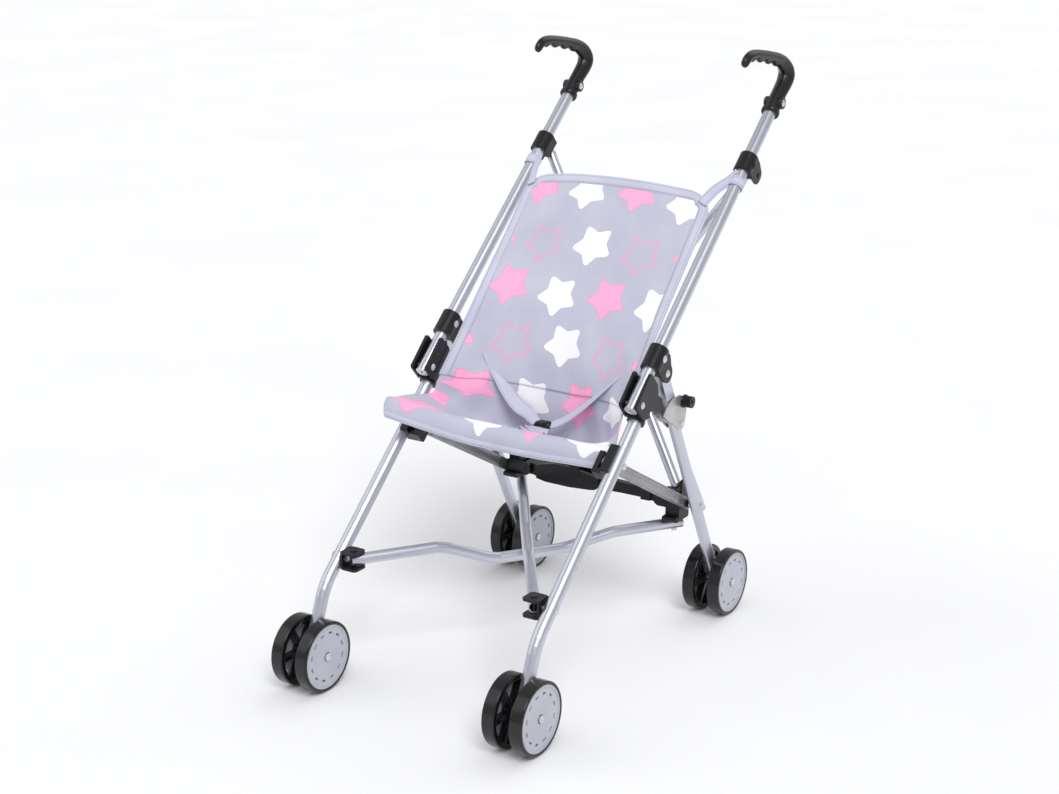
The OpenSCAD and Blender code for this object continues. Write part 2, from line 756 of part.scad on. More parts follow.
on_right() front_leg();  // front_leg_right
front_leg();  // front_leg_left
on_right() leg_bracket(false);  // leg_bracket_right
leg_bracket(true);  // leg_bracket_left
on_right() seat_bracket();  // seat_bracket_right
seat_bracket();  // seat_bracket_left
on_right() frame_fixings();  // frame_fixings_right
frame_fixings();  // frame_fixings_left
on_right() handle_tube();  // handle_tube_right
handle_tube();  // handle_tube_left
on_right() collar();  // collar_right
collar();  // collar_left
on_right() grip();  // grip_right
grip();  // grip_left
on_right() handle_fixings();  // handle_fixings_right
handle_fixings();  // handle_fixings_left
on_right() top_clip();  // top_clip_right
top_clip();  // top_clip_left
on_right() back_brace(0);  // back_brace_right
back_brace(back_bow);  // back_brace_left
on_right() rear_leg(false);  // rear_leg_right
rear_leg(true);  // rear_leg_left
on_right() side_link();  // side_link_right
side_link();  // side_link_left
on_right() rear_joint(119.8, bar_z_right);  // rear_joint_right
rear_joint(108.4, bar_z_left);  // rear_joint_left
on_right() front_clamp();  // front_clamp_right
front_clamp();  // front_clamp_left
on_right() lower_brace(20.5, 11.5);  // lower_brace_right
lower_brace(8, 0);  // lower_brace_left
lock_bar_right();
lock_bar_left();
safety_latch();
latch_knob();
latch_rivet();
on_right() wheel_axle(front_axle);  // front_axle_right
wheel_axle(front_axle);  // front_axle_left
on_right() wheel_axle(rear_axle);  // rear_axle_right
wheel_axle(rear_axle);  // rear_axle_left
on_right() wheel(front_axle, 1);  // wheel_front_right_outer
on_right() wheel(front_axle, -1);  // wheel_front_right_inner
wheel(front_axle, 1);  // wheel_front_left_outer
wheel(front_axle, -1);  // wheel_front_left_inner
on_right() wheel(rear_axle, 1);  // wheel_rear_right_outer
on_right() wheel(rear_axle, -1);  // wheel_rear_right_inner
wheel(rear_axle, 1);  // wheel_rear_left_outer
wheel(rear_axle, -1);  // wheel_rear_left_inner
on_right() wheel_disc(front_axle, 1);  // disc_front_right_outer
on_right() wheel_disc(front_axle, -1);  // disc_front_right_inner
wheel_disc(front_axle, 1);  // disc_front_left_outer
wheel_disc(front_axle, -1);  // disc_front_left_inner
on_right() wheel_disc(rear_axle, 1);  // disc_rear_right_outer
on_right() wheel_disc(rear_axle, -1);  // disc_rear_right_inner
wheel_disc(rear_axle, 1);  // disc_rear_left_outer
wheel_disc(rear_axle, -1);  // disc_rear_left_inner
back_sling();
seat_sling();
shoulder_straps();
crotch_strap();
buckle();
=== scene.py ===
import math

import bmesh
import bpy
import numpy as np
from mathutils import Matrix, Vector, noise


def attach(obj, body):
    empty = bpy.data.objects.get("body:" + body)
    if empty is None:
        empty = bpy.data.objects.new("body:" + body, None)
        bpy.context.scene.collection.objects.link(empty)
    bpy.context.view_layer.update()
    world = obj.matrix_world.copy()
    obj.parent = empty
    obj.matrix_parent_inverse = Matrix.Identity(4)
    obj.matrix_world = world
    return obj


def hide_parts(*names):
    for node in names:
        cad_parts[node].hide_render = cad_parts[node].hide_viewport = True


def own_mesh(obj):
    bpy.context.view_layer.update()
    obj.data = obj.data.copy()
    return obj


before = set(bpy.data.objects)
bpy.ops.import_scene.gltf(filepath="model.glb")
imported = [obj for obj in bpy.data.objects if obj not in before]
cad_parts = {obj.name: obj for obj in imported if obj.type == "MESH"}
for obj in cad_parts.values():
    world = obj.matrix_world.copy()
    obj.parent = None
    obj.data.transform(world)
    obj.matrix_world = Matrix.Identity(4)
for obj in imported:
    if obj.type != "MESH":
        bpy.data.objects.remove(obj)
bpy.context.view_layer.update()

MM = 0.001
MID_Y = 229.9  # rearward distance from the front axle to the row frame's origin
HALF_GAP = 116.0  # from the middle to the plane of a side frame
HANDLE_PIVOT = (186.5, 263.5)
HANDLE_ANGLE = math.radians(41.4)
TUBE_R = 6.25


# ---- places ----

def leg_point(x, y, z):
    """A point given across, rearward of the front axle and up, in millimetres."""
    return Vector((x, y - MID_Y, z)) * MM


def handle_point(side, along, up, out):
    """A point given along a handle, to its upper front, and outward; side is 1 or -1."""
    c, s = math.cos(HANDLE_ANGLE), math.sin(HANDLE_ANGLE)
    y = HANDLE_PIVOT[0] + along * c - up * s
    z = HANDLE_PIVOT[1] + along * s + up * c
    return leg_point(side * (HALF_GAP + out), y, z)


def smooth_path(points, count):
    """Evenly spaced points on a Catmull-Rom curve through the given ones."""
    p = np.array(points, float)
    q = np.vstack([2 * p[0] - p[1], p, 2 * p[-1] - p[-2]])
    out = []
    for i in range(len(p) - 1):
        a, b, c, d = q[i:i + 4]
        for t in np.arange(24) / 24:
            out.append(0.5 * (2 * b + (c - a) * t + (2 * a - 5 * b + 4 * c - d) * t ** 2
                              + (3 * b - 3 * c + d - a) * t ** 3))
    out.append(p[-1])
    return even(np.array(out), count)


def even(line, count):
    """The same line with count evenly spaced points."""
    step = np.linalg.norm(np.diff(line, axis=0), axis=1)
    far = np.concatenate([[0], np.cumsum(step)])
    want = np.linspace(0, far[-1], count)
    return np.stack([np.interp(want, far, line[:, k]) for k in range(line.shape[1])], 1)


def length_of(line):
    """Length in metres of a line in millimetres."""
    return round(float(np.linalg.norm(np.diff(line, axis=0), axis=1).sum()) * MM, 3)


def smoothstep(low, high, t):
    """0 at low and 1 at high, with an eased ramp between; low may be the larger."""
    t = np.clip((np.asarray(t, float) - low) / (high - low), 0, 1)
    return t * t * (3 - 2 * t)


# ---- materials ----

def links_of(m):
    return m.node_tree.nodes, m.node_tree.links


def new_material(name):
    m = bpy.data.materials.new(name)
    m.use_nodes = True
    return m, m.node_tree.nodes["Principled BSDF"]


def noise_node(m, scale, detail=3.0, stretch=(1, 1, 1), coord="Object"):
    nodes, links = links_of(m)
    place = nodes.new("ShaderNodeTexCoord")
    mapping = nodes.new("ShaderNodeMapping")
    mapping.inputs["Scale"].default_value = stretch
    tex = nodes.new("ShaderNodeTexNoise")
    tex.inputs["Scale"].default_value = scale
    tex.inputs["Detail"].default_value = detail
    links.new(place.outputs[coord], mapping.inputs["Vector"])
    links.new(mapping.outputs["Vector"], tex.inputs["Vector"])
    return tex.outputs["Fac"]


def ranged(m, value, low, high, start=0.3, end=0.7):
    nodes, links = links_of(m)
    n = nodes.new("ShaderNodeMapRange")
    n.inputs["From Min"].default_value = start
    n.inputs["From Max"].default_value = end
    n.inputs["To Min"].default_value = low
    n.inputs["To Max"].default_value = high
    links.new(value, n.inputs["Value"])
    return n.outputs["Result"]


def mixed(m, factor, a, b):
    """Colour a where factor is 0 and b where it is 1; a and b are colours or outputs."""
    nodes, links = links_of(m)
    n = nodes.new("ShaderNodeMix")
    n.data_type = "RGBA"
    links.new(factor, n.inputs[0])
    for socket, value in ((n.inputs[6], a), (n.inputs[7], b)):
        if isinstance(value, tuple):
            socket.default_value = (*value, 1)
        else:
            links.new(value, socket)
    return n.outputs[2]


def calc(m, operation, a, b=0.0):
    nodes, links = links_of(m)
    n = nodes.new("ShaderNodeMath")
    n.operation = operation
    for socket, value in ((n.inputs[0], a), (n.inputs[1], b)):
        if isinstance(value, (int, float)):
            socket.default_value = value
        else:
            links.new(value, socket)
    return n.outputs[0]


def relief(m, bsdf, height, strength, distance, edge=0.0):
    """Bump from a height, over edges softened to the given radius in metres."""
    nodes, links = links_of(m)
    bump = nodes.new("ShaderNodeBump")
    bump.inputs["Strength"].default_value = strength
    bump.inputs["Distance"].default_value = distance
    links.new(height, bump.inputs["Height"])
    if edge > 0:
        bevel = nodes.new("ShaderNodeBevel")
        bevel.samples = 4
        bevel.inputs["Radius"].default_value = edge
        links.new(bevel.outputs["Normal"], bump.inputs["Normal"])
    links.new(bump.outputs["Normal"], bsdf.inputs["Normal"])


def hard_surface(name, light, dark, metallic, rough, grain, bump, coat=0.0, edge=0.0,
                 shine=0.5):
    """Metal or moulded plastic: mottled colour, uneven polish and a fine grain."""
    m, bsdf = new_material(name)
    links = m.node_tree.links
    broad = noise_node(m, 28.0, 4.0)
    fine = noise_node(m, grain)
    links.new(mixed(m, ranged(m, broad, 0, 1), light, dark), bsdf.inputs["Base Color"])
    links.new(ranged(m, fine, rough[0], rough[1]), bsdf.inputs["Roughness"])
    bsdf.inputs["Metallic"].default_value = metallic
    bsdf.inputs["Specular IOR Level"].default_value = shine
    if coat > 0:
        bsdf.inputs["Coat Weight"].default_value = coat
        bsdf.inputs["Coat Roughness"].default_value = 0.12
    relief(m, bsdf, fine, bump, 0.0003, edge)
    return m


TUBE = hard_surface("satin_tube", (0.60, 0.61, 0.68), (0.55, 0.56, 0.63), 0.90,
                    (0.29, 0.33), 700.0, 0.012)
LINK = hard_surface("zinc_link", (0.40, 0.40, 0.42), (0.30, 0.30, 0.32), 0.90,
                    (0.30, 0.48), 420.0, 0.10, edge=0.0006)
RIVET = hard_surface("rivet_metal", (0.72, 0.72, 0.74), (0.58, 0.58, 0.61), 0.70,
                     (0.22, 0.36), 700.0, 0.05)
LATCH = hard_surface("zinc_sheet", (0.62, 0.61, 0.60), (0.44, 0.44, 0.45), 0.85,
                     (0.28, 0.50), 260.0, 0.12, edge=0.0005)
BLACK = hard_surface("black_moulding", (0.006, 0.006, 0.007), (0.010, 0.010, 0.012), 0.0,
                     (0.28, 0.40), 800.0, 0.06, coat=0.04, edge=0.0008, shine=0.30)
GRIP = hard_surface("black_grip", (0.005, 0.005, 0.006), (0.009, 0.009, 0.010), 0.0,
                    (0.24, 0.36), 650.0, 0.06, coat=0.06, shine=0.35)
TYRE = hard_surface("glossy_tyre", (0.005, 0.005, 0.006), (0.009, 0.009, 0.010), 0.0,
                    (0.14, 0.24), 500.0, 0.04, coat=0.08, edge=0.0006, shine=0.40)
DISC = hard_surface("wheel_disc", (0.50, 0.51, 0.58), (0.44, 0.45, 0.52), 0.05,
                    (0.28, 0.42), 700.0, 0.07, edge=0.0005)

FABRIC_LIGHT = (0.575, 0.580, 0.690)
FABRIC_DARK = (0.500, 0.505, 0.620)
HEM_LIGHT = (0.640, 0.640, 0.765)
HEM_DARK = (0.545, 0.548, 0.675)
PINK = (1.0, 0.43, 0.66)
PINK_LINE = (0.92, 0.33, 0.55)
WHITE = (0.93, 0.93, 0.95)


def weave(m, scale):
    """Height of a plain weave over the UVs, which are in metres."""
    nodes, links = links_of(m)
    place = nodes.new("ShaderNodeTexCoord")
    split = nodes.new("ShaderNodeSeparateXYZ")
    links.new(place.outputs["UV"], split.inputs[0])
    warp = calc(m, "SINE", calc(m, "MULTIPLY", split.outputs["X"], scale))
    weft = calc(m, "SINE", calc(m, "MULTIPLY", split.outputs["Y"], scale))
    return calc(m, "MULTIPLY", warp, weft), split


STITCH_HALF = 0.00042
GROOVE_HALF = 0.0009


def cloth_material(name, light, dark, stars=False, thread=0.0011, stitches=()):
    """Woven polyester; stitches are rows (distance across, pitch) in metres."""
    m, bsdf = new_material(name)
    nodes, links = links_of(m)
    height, split = weave(m, 2 * math.pi / thread)
    broad = noise_node(m, 22.0, 4.0)
    slub = noise_node(m, 1400.0, 2.0, coord="UV", stretch=(1, 0.25, 1))
    colour = mixed(m, ranged(m, broad, 0, 1), light, dark)
    colour = mixed(m, ranged(m, slub, 0, 0.25), colour, tuple(0.8 * c for c in dark))
    if stars:
        colour = star_print(m, colour)
    rise = calc(m, "ADD", height, slub)
    if stitches:
        thread_at = 0.0
        for across, pitch in stitches:
            off = calc(m, "ABSOLUTE", calc(m, "SUBTRACT", split.outputs["X"], across))
            near = calc(m, "LESS_THAN", off, STITCH_HALF)
            along = calc(m, "FRACT", calc(m, "DIVIDE", split.outputs["Y"], pitch))
            dash = calc(m, "LESS_THAN", along, 0.72)
            thread_at = calc(m, "ADD", calc(m, "MULTIPLY", near, dash), thread_at)
            groove = calc(m, "LESS_THAN", off, GROOVE_HALF)
            rise = calc(m, "SUBTRACT", rise, calc(m, "MULTIPLY", groove, 2.5))
        colour = mixed(m, thread_at, colour, tuple(0.72 * c for c in dark))
        rise = calc(m, "ADD", rise, calc(m, "MULTIPLY", thread_at, 3.0))
    links.new(colour, bsdf.inputs["Base Color"])
    links.new(ranged(m, slub, 0.78, 0.92), bsdf.inputs["Roughness"])
    bsdf.inputs["Sheen Weight"].default_value = 0.22
    bsdf.inputs["Sheen Roughness"].default_value = 0.45
    bsdf.inputs["Specular IOR Level"].default_value = 0.25
    relief(m, bsdf, rise, 0.22, 0.00012)
    return m


def star_print(m, cloth):
    """Printed stars, from the distance to the nearest star's edge and its kind."""
    nodes, links = links_of(m)
    edge = nodes.new("ShaderNodeAttribute")
    edge.attribute_name = "star_edge"
    kind = nodes.new("ShaderNodeAttribute")
    kind.attribute_name = "star_kind"
    d = edge.outputs["Fac"]
    inside = calc(m, "LESS_THAN", d, 0.0)
    rim = calc(m, "LESS_THAN", calc(m, "ABSOLUTE", calc(m, "ADD", d, 0.0004)), 0.0005)
    outer = calc(m, "LESS_THAN", calc(m, "ABSOLUTE", calc(m, "ADD", d, 0.0004)), 0.00035)
    inner = calc(m, "LESS_THAN", calc(m, "ABSOLUTE", calc(m, "ADD", d, 0.0020)), 0.00035)
    lines = calc(m, "MAXIMUM", outer, inner)
    pink = mixed(m, rim, PINK, PINK_LINE)
    is_white = calc(m, "GREATER_THAN", kind.outputs["Fac"], 0.5)
    is_line = calc(m, "GREATER_THAN", kind.outputs["Fac"], 1.5)
    filled = mixed(m, inside, cloth, mixed(m, is_white, pink, WHITE))
    drawn = mixed(m, lines, cloth, PINK_LINE)
    return mixed(m, is_line, filled, drawn)


FABRIC = cloth_material("star_fabric", FABRIC_LIGHT, FABRIC_DARK, stars=True)
HEM = cloth_material("hem_binding", HEM_LIGHT, HEM_DARK,
                     stitches=((0.0015, 0.0030), (0.0085, 0.0030)))
STRAP = cloth_material("strap_webbing", HEM_LIGHT, HEM_DARK, thread=0.0016,
                       stitches=((0.0014, 0.0028), (0.0136, 0.0028)))

BY_SLOT = {
    "tube_metal": TUBE, "black_plastic": BLACK, "grip_plastic": GRIP,
    "tyre_plastic": TYRE, "disc_plastic": DISC, "link_metal": LINK,
    "rivet_metal": RIVET, "latch_sheet": LATCH, "sling_fabric": FABRIC,
    "strap_fabric": STRAP,
}


def paint_cad():
    """Every CAD node's slots get the material that its record names for them."""
    for name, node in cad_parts.items():
        for i, old in enumerate(node.data.materials):
            key = old.name.split(".")[0] if old else ""
            node.data.materials[i] = BY_SLOT.get(key, BLACK)


# ---- meshes ----

def mesh_object(name, points, faces, uvs=None, material=None, smooth=True):
    mesh = bpy.data.meshes.new(name)
    mesh.from_pydata([tuple(p) for p in points], [], faces)
    if uvs is not None:
        layer = mesh.uv_layers.new(name="UVMap")
        for loop in mesh.loops:
            layer.data[loop.index].uv = uvs[loop.vertex_index]
    mesh.validate()
    if smooth:
        mesh.shade_smooth()
    obj = bpy.data.objects.new(name, mesh)
    bpy.context.scene.collection.objects.link(obj)
    if material:
        mesh.materials.append(material)
    return obj


def grid_faces(rows, columns, closed=False):
    wide = columns if closed else columns - 1
    return [(i * columns + j, i * columns + (j + 1) % columns,
             (i + 1) * columns + (j + 1) % columns, (i + 1) * columns + j)
            for i in range(rows - 1) for j in range(wide)]


def applied(obj, add_modifiers):
    """obj with the modifiers that add_modifiers puts on it, made into its mesh."""
    add_modifiers(obj)
    bpy.context.view_layer.update()
    done = bpy.data.meshes.new_from_object(
        obj.evaluated_get(bpy.context.evaluated_depsgraph_get()))
    obj.modifiers.clear()
    obj.data = done
    return obj


def thicken(obj, thickness):
    def add(o):
        mod = o.modifiers.new("thickness", "SOLIDIFY")
        mod.thickness = thickness
        mod.offset = 0
        mod.use_even_offset = False
    return applied(obj, add)


def loft(name, rings, uvs=None, material=None):
    """A closed tube through rings of points, each with the same number."""
    count = len(rings[0])
    points = [p for ring in rings for p in ring]
    faces = grid_faces(len(rings), count, closed=True)
    faces.append(tuple(range(count - 1, -1, -1)))
    faces.append(tuple((len(rings) - 1) * count + k for k in range(count)))
    return mesh_object(name, points, faces, uvs, material)


def strip(name, line, across, half_width, thickness, material):
    """A flat strap along a line in metres; across gives its width direction there."""
    line = np.array([tuple(p) for p in line])
    ahead = np.gradient(line, axis=0)
    ahead /= np.linalg.norm(ahead, axis=1)[:, None]
    across = np.array([tuple(a) for a in across], float)
    across -= (across * ahead).sum(1)[:, None] * ahead
    across /= np.linalg.norm(across, axis=1)[:, None]
    up = np.cross(across, ahead)
    up /= np.linalg.norm(up, axis=1)[:, None]
    half = np.broadcast_to(half_width, len(line))
    section = [(-1, 0.35), (-0.92, 0.9), (0, 1), (0.92, 0.9), (1, 0.35),
               (1, -0.35), (0.92, -0.9), (0, -1), (-0.92, -0.9), (-1, -0.35)]
    far = np.concatenate([[0], np.cumsum(np.linalg.norm(np.diff(line, axis=0), axis=1))])
    rings, uvs = [], []
    for i, p in enumerate(line):
        rings.append([p + across[i] * half[i] * a + up[i] * thickness / 2 * b
                      for a, b in section])
        uvs += [((a + 1) * half[i], far[i]) for a, _ in section]
    return loft(name, rings, uvs, material)


# ---- the sling ----

# Rows of the sling from its top edge to the lower edge of its front flap: half width,
# then rearward and up at the middle and at the side edge, all in millimetres
ROWS = [
    (98.0, 355.0, 432.0, 355.5, 425.0),
    (103.4, 344.0, 419.0, 345.0, 411.0),
    (103.5, 330.0, 402.5, 331.0, 395.5),
    (103.5, 300.0, 365.0, 303.0, 367.0),
    (103.5, 272.5, 324.0, 263.0, 327.0),
    (103.5, 252.5, 282.0, 222.0, 285.0),
    (103.5, 241.0, 243.0, 192.0, 255.0),
    (103.5, 237.0, 207.0, 186.5, 246.5),
    (103.5, 228.0, 191.0, 184.0, 241.5),
    (103.5, 204.0, 194.5, 181.5, 236.0),
    (103.5, 181.0, 209.5, 179.0, 230.0),
    (103.5, 165.0, 224.5, 176.5, 222.5),
    (103.5, 157.0, 228.6, 172.5, 220.5),
    (103.5, 150.0, 226.0, 168.5, 216.0),
    (103.5, 148.0, 218.0, 167.5, 209.5),
    (103.5, 151.0, 207.0, 169.0, 203.0),
]
SEAM_ROW = 6.0
EAR = (-14.0, -46.0, 26.0)  # how far the hem's right corner stands out and forward


def sling_rows(t):
    """ROWS at places t between its rows."""
    r = np.array(ROWS)
    q = np.vstack([2 * r[0] - r[1], r, 2 * r[-1] - r[-2]])
    t = np.clip(np.asarray(t, float), 0, len(ROWS) - 1 - 1e-6)
    i = t.astype(int)
    f = (t - i)[:, None]
    a, b, c, d = q[i], q[i + 1], q[i + 2], q[i + 3]
    return 0.5 * (2 * b + (c - a) * f + (2 * a - 5 * b + 4 * c - d) * f ** 2
                  + (3 * b - 3 * c + d - a) * f ** 3)


def sling_point(t, s):
    """Points of the sling in millimetres at rows t, and s from -1 right to 1 left."""
    t = np.asarray(t, float)
    r = sling_rows(t)
    rise = np.abs(s)[None, :] ** 2.6
    x = r[:, :1] * s[None, :]
    y = r[:, 1:2] + (r[:, 3:4] - r[:, 1:2]) * rise
    z = r[:, 2:3] + (r[:, 4:5] - r[:, 2:3]) * rise
    ear = (smoothstep(8.0, 12.0, t)[:, None] * smoothstep(-0.35, -1.0, s)[None, :])
    return np.stack([x + EAR[0] * ear, y + EAR[1] * ear, z + EAR[2] * ear], -1)


def wrinkle(points, t, s):
    """Points moved a little along y and z, as slack cloth lies."""
    out = points.copy()
    rows, columns = points.shape[:2]
    hold = smoothstep(1.0, 0.82, np.abs(s))
    for i in range(rows):
        low = float(smoothstep(3.2, 7.0, t[i]) * smoothstep(12.5, 10.5, t[i]))
        for j in range(columns):
            p = points[i, j]
            broad = noise.noise(Vector(p) * 0.011)
            fold = noise.noise(Vector((p[0] * 0.035 + p[2] * 0.02, p[2] * 0.008, 7.0)))
            move = hold[j] * (2.2 * broad + (0.5 + 2.4 * low) * fold)
            # wing folds that run from the seat's rear corners up the edges
            wing = smoothstep(0.45, 0.8, abs(s[j])) * smoothstep(1.0, 0.9, abs(s[j])) * low
            move += 2.6 * float(wing) * math.sin(0.10 * p[2] + 0.16 * abs(p[0]))
            out[i, j, 1] += 0.7 * move
            out[i, j, 2] -= 0.7 * move
    return out


SLING_HALF = 103.5
CORNER_R = 16.0
CELL = 1.8  # side of one mesh cell of the sling
CLOTH_T = 0.0011

STAR_PITCH = 54.5
STAR_ROW_PITCH = 52.5
STAR_R = 21.5
STAR_ROUND = 3.0
STAR_TURN = math.radians(-32)


def star_distance(du, dv, turn):
    """Signed distance in millimetres from the edge of a star with rounded tips."""
    r = np.hypot(du, dv)
    a = np.arctan2(du, -dv) - turn
    a = np.abs((a + math.pi / 5) % (2 * math.pi / 5) - math.pi / 5)
    tip = np.array([STAR_R - STAR_ROUND, 0.0])
    valley = 0.50 * STAR_R * np.array([math.cos(math.pi / 5), math.sin(math.pi / 5)])
    px, py = r * np.cos(a), r * np.sin(a)
    e = valley - tip
    h = np.clip(((px - tip[0]) * e[0] + (py - tip[1]) * e[1]) / (e @ e), 0, 1)
    away = np.hypot(px - tip[0] - h * e[0], py - tip[1] - h * e[1])
    side = (px - tip[0]) * e[1] - (py - tip[1]) * e[0]
    return np.where(side > 0, away, -away) - STAR_ROUND


def star_field(u, v):
    """Edge distance and kind of the nearest star at u across and v down, in millimetres.
    Whole rows alternate pink and white. The rows between them have outlined stars in
    odd columns, a white star in the middle and pink ones in the other even columns."""
    best = np.full(u.shape, 1e3)
    kind = np.zeros(u.shape)
    for row in range(0, 9):
        whole = row % 2 == 0
        for column in range(-3, 4):
            cu = (column + (0.5 if whole else 0.0)) * STAR_PITCH + 7.0 * (row == 2)
            cv = 22.0 + row * STAR_ROW_PITCH + 4.0 * (column % 2) - 9.0 * (row == 0)
            d = star_distance(u - cu, v - cv, STAR_TURN)
            if whole:
                what = 0 if column % 2 == 0 else 1
            else:
                what = 2 if column % 2 else (1 if column == 0 else 0)
            closer = d < best
            best = np.where(closer, d, best)
            kind = np.where(closer, what, kind)
    return best, kind


def sling_sheet(name, t_from, t_to, cell, v_start):
    """Part of the sling as a sheet, with UVs in metres and the star attributes."""
    fine = np.linspace(t_from, t_to, 500)
    s_mid = np.array([0.0, 0.6])
    line = sling_point(fine, s_mid).mean(1)
    far = np.concatenate([[0], np.cumsum(np.linalg.norm(np.diff(line, axis=0), axis=1))])
    rows = int(far[-1] / cell) + 1
    t = np.interp(np.linspace(0, far[-1], rows), far, fine)
    down = np.linspace(0, far[-1], rows) + v_start
    s = np.linspace(-1, 1, int(2 * SLING_HALF / cell) + 1)
    wide = np.ones(rows)
    if t_from < 1:  # round the two top corners
        up = np.clip(CORNER_R - down, 0, CORNER_R)
        wide = 1 - (CORNER_R - np.sqrt(CORNER_R ** 2 - up ** 2)) / SLING_HALF
    points = np.stack([sling_point(t[i:i + 1], s * wide[i])[0] for i in range(rows)])
    points = wrinkle(points, t, s)
    if t_from > 1:  # the seat laps behind the back along their seam
        lap = smoothstep(SEAM_ROW + 0.5, SEAM_ROW, t)[:, None]
        points[..., 1] += 1.0 * lap
        points[..., 2] -= 0.5 * lap
    u = SLING_HALF * s[None, :] * wide[:, None]
    v = np.broadcast_to(down[:, None], (rows, len(s)))
    edge, kind = star_field(u, v)
    flat = points.reshape(-1, 3)
    obj = mesh_object(name, [leg_point(*p) for p in flat], grid_faces(rows, len(s)),
                      np.stack([u.ravel() * MM + 0.2, v.ravel() * MM], 1), FABRIC)
    for key, values in (("star_edge", edge.ravel() * MM), ("star_kind", kind.ravel())):
        a = obj.data.attributes.new(key, "FLOAT", "POINT")
        a.data.foreach_set("value", values.astype(np.float32))
    return obj, points, far[-1]


def area_of(points):
    """Area of a grid of points, as two triangles to a cell."""
    a = np.linalg.norm(np.cross(points[1:, :-1] - points[:-1, :-1],
                                points[:-1, 1:] - points[:-1, :-1]), axis=-1)
    b = np.linalg.norm(np.cross(points[1:, :-1] - points[1:, 1:],
                                points[:-1, 1:] - points[1:, 1:]), axis=-1)
    return float(a.sum() + b.sum()) / 2


def binding(name, edge, inner, width, thickness, material=HEM):
    """A hem folded over a sheet's edge; inner are the sheet's points inside it."""
    edge = np.array(edge, float)
    inner = np.array(inner, float)
    inward = inner - edge
    inward /= np.linalg.norm(inward, axis=1)[:, None]
    ahead = np.gradient(edge, axis=0)
    normal = np.cross(ahead, inward)
    normal /= np.linalg.norm(normal, axis=1)[:, None]
    section = [(-0.9, 0.0), (-0.6, 0.7), (0.4, 1.0), (width * 0.5, 0.92),
               (width, 0.72), (width + 0.05, 0.0), (width, -0.72), (width * 0.5, -0.92),
               (0.4, -1.0), (-0.6, -0.7)]
    far = np.concatenate([[0], np.cumsum(np.linalg.norm(np.diff(edge, axis=0), axis=1))])
    rings, uvs = [], []
    for i in range(len(edge)):
        pucker = 1 + 0.16 * math.sin(far[i] * 1.9) * math.sin(far[i] * 0.37)
        rings.append([leg_point(*(edge[i] + inward[i] * a
                                  + normal[i] * b * pucker * thickness / 2))
                      for a, b in section])
        uvs += [(max(a, 0) * MM, far[i] * MM) for a, _ in section]
    return loft(name, rings, uvs, material)


def on_sheet(points, cell, u, v):
    """Points of a sheet at u across and v down, in millimetres from its top middle."""
    rows, columns = points.shape[:2]
    i = np.clip(np.asarray(v, float) / cell, 0, rows - 1.001)
    up = np.clip(CORNER_R - np.asarray(v, float), 0, CORNER_R)
    half = SLING_HALF - (CORNER_R - np.sqrt(CORNER_R ** 2 - up ** 2))
    j = np.clip((np.asarray(u, float) / half + 1) / 2 * (columns - 1), 0, columns - 1.001)
    a, b = i.astype(int), j.astype(int)
    f, g = (i - a)[:, None], (j - b)[:, None]
    return ((1 - f) * (1 - g) * points[a, b] + f * (1 - g) * points[a + 1, b]
            + (1 - f) * g * points[a, b + 1] + f * g * points[a + 1, b + 1])


def make_back():
    obj, p, long = sling_sheet("back_fabric", 0.0, SEAM_ROW, CELL, 0.0)
    turn = np.linspace(0, math.pi / 2, 14)
    corner = [(SLING_HALF - CORNER_R + CORNER_R * math.cos(a),
               CORNER_R - CORNER_R * math.sin(a)) for a in turn]
    outline = ([(SLING_HALF, long - 1)] + corner
               + [(-x, y) for x, y in corner[::-1]] + [(-SLING_HALF, long - 1)])
    outline = even(np.array(outline), 460)
    core = np.stack([np.clip(outline[:, 0], CORNER_R - SLING_HALF, SLING_HALF - CORNER_R),
                     np.maximum(outline[:, 1], CORNER_R)], 1)
    inner = core + (outline - core) * (1 - 10 / CORNER_R)
    cell = long / (p.shape[0] - 1)
    hem = binding("back_hem", on_sheet(p, cell, outline[:, 0], outline[:, 1]),
                  on_sheet(p, cell, inner[:, 0], inner[:, 1]), 10.0, 2.6)
    area = area_of(p) * MM * MM
    thicken(obj, CLOTH_T)
    return obj, hem, long, area


def make_seat(pattern_start):
    obj, p, long = sling_sheet("seat_fabric", SEAM_ROW - 0.12, len(ROWS) - 1.0, CELL,
                               pattern_start)
    skip = 5
    front = binding("flap_hem", even(p[-1], 260), even(p[-1 - skip], 260), 7.0, 2.4)
    area = area_of(p) * MM * MM
    thicken(obj, CLOTH_T)
    return obj, front, long, area


def make_sling():
    back, hem, long, area = make_back()
    seat, front, seat_long, seat_area = make_seat(long - 4)
    for piece in (back, hem):
        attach(piece, "handle_right")
    for piece in (seat, front):
        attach(piece, "right_frame")
    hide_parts("back_sling")
    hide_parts("seat_sling")
    # The flat lengths and areas are measured on these meshes, so they don't test them
    return [back, hem, seat, front]


# ---- straps, loops and buckle ----

def make_straps():
    pieces = []
    for side, name in ((-1, "strap_right"), (1, "strap_left")):
        sag = 9.0 if side < 0 else 2.0
        points = smooth_path([
            (side * 101.5, 246.0, 305.0), (side * 95.0, 245.0, 298.0),
            (side * 66.0, 239.0 - 0.6 * sag, 268.0 - sag),
            (side * 40.0, 231.0 - 0.6 * sag, 241.0 - sag),
            (side * 20.0, 221.5, 222.0), (side * 8.0, 217.5, 216.0)], 90)
        turn = np.linspace(0, 1, len(points))
        flat = np.array([0.35 * side, 0.55, 0.75])
        rest = np.array([0.15 * side, 0.85, 0.5])
        across = flat[None, :] * (1 - turn[:, None]) + rest[None, :] * turn[:, None]
        line = [leg_point(*p) for p in points]
        half = 0.0075 * (1 - 0.30 * smoothstep(0.82, 1.0, turn))
        pieces.append(strip(name, line, across, half, 0.0014, STRAP))
        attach(pieces[-1], "handle_right")
    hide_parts("shoulder_straps")
    return pieces


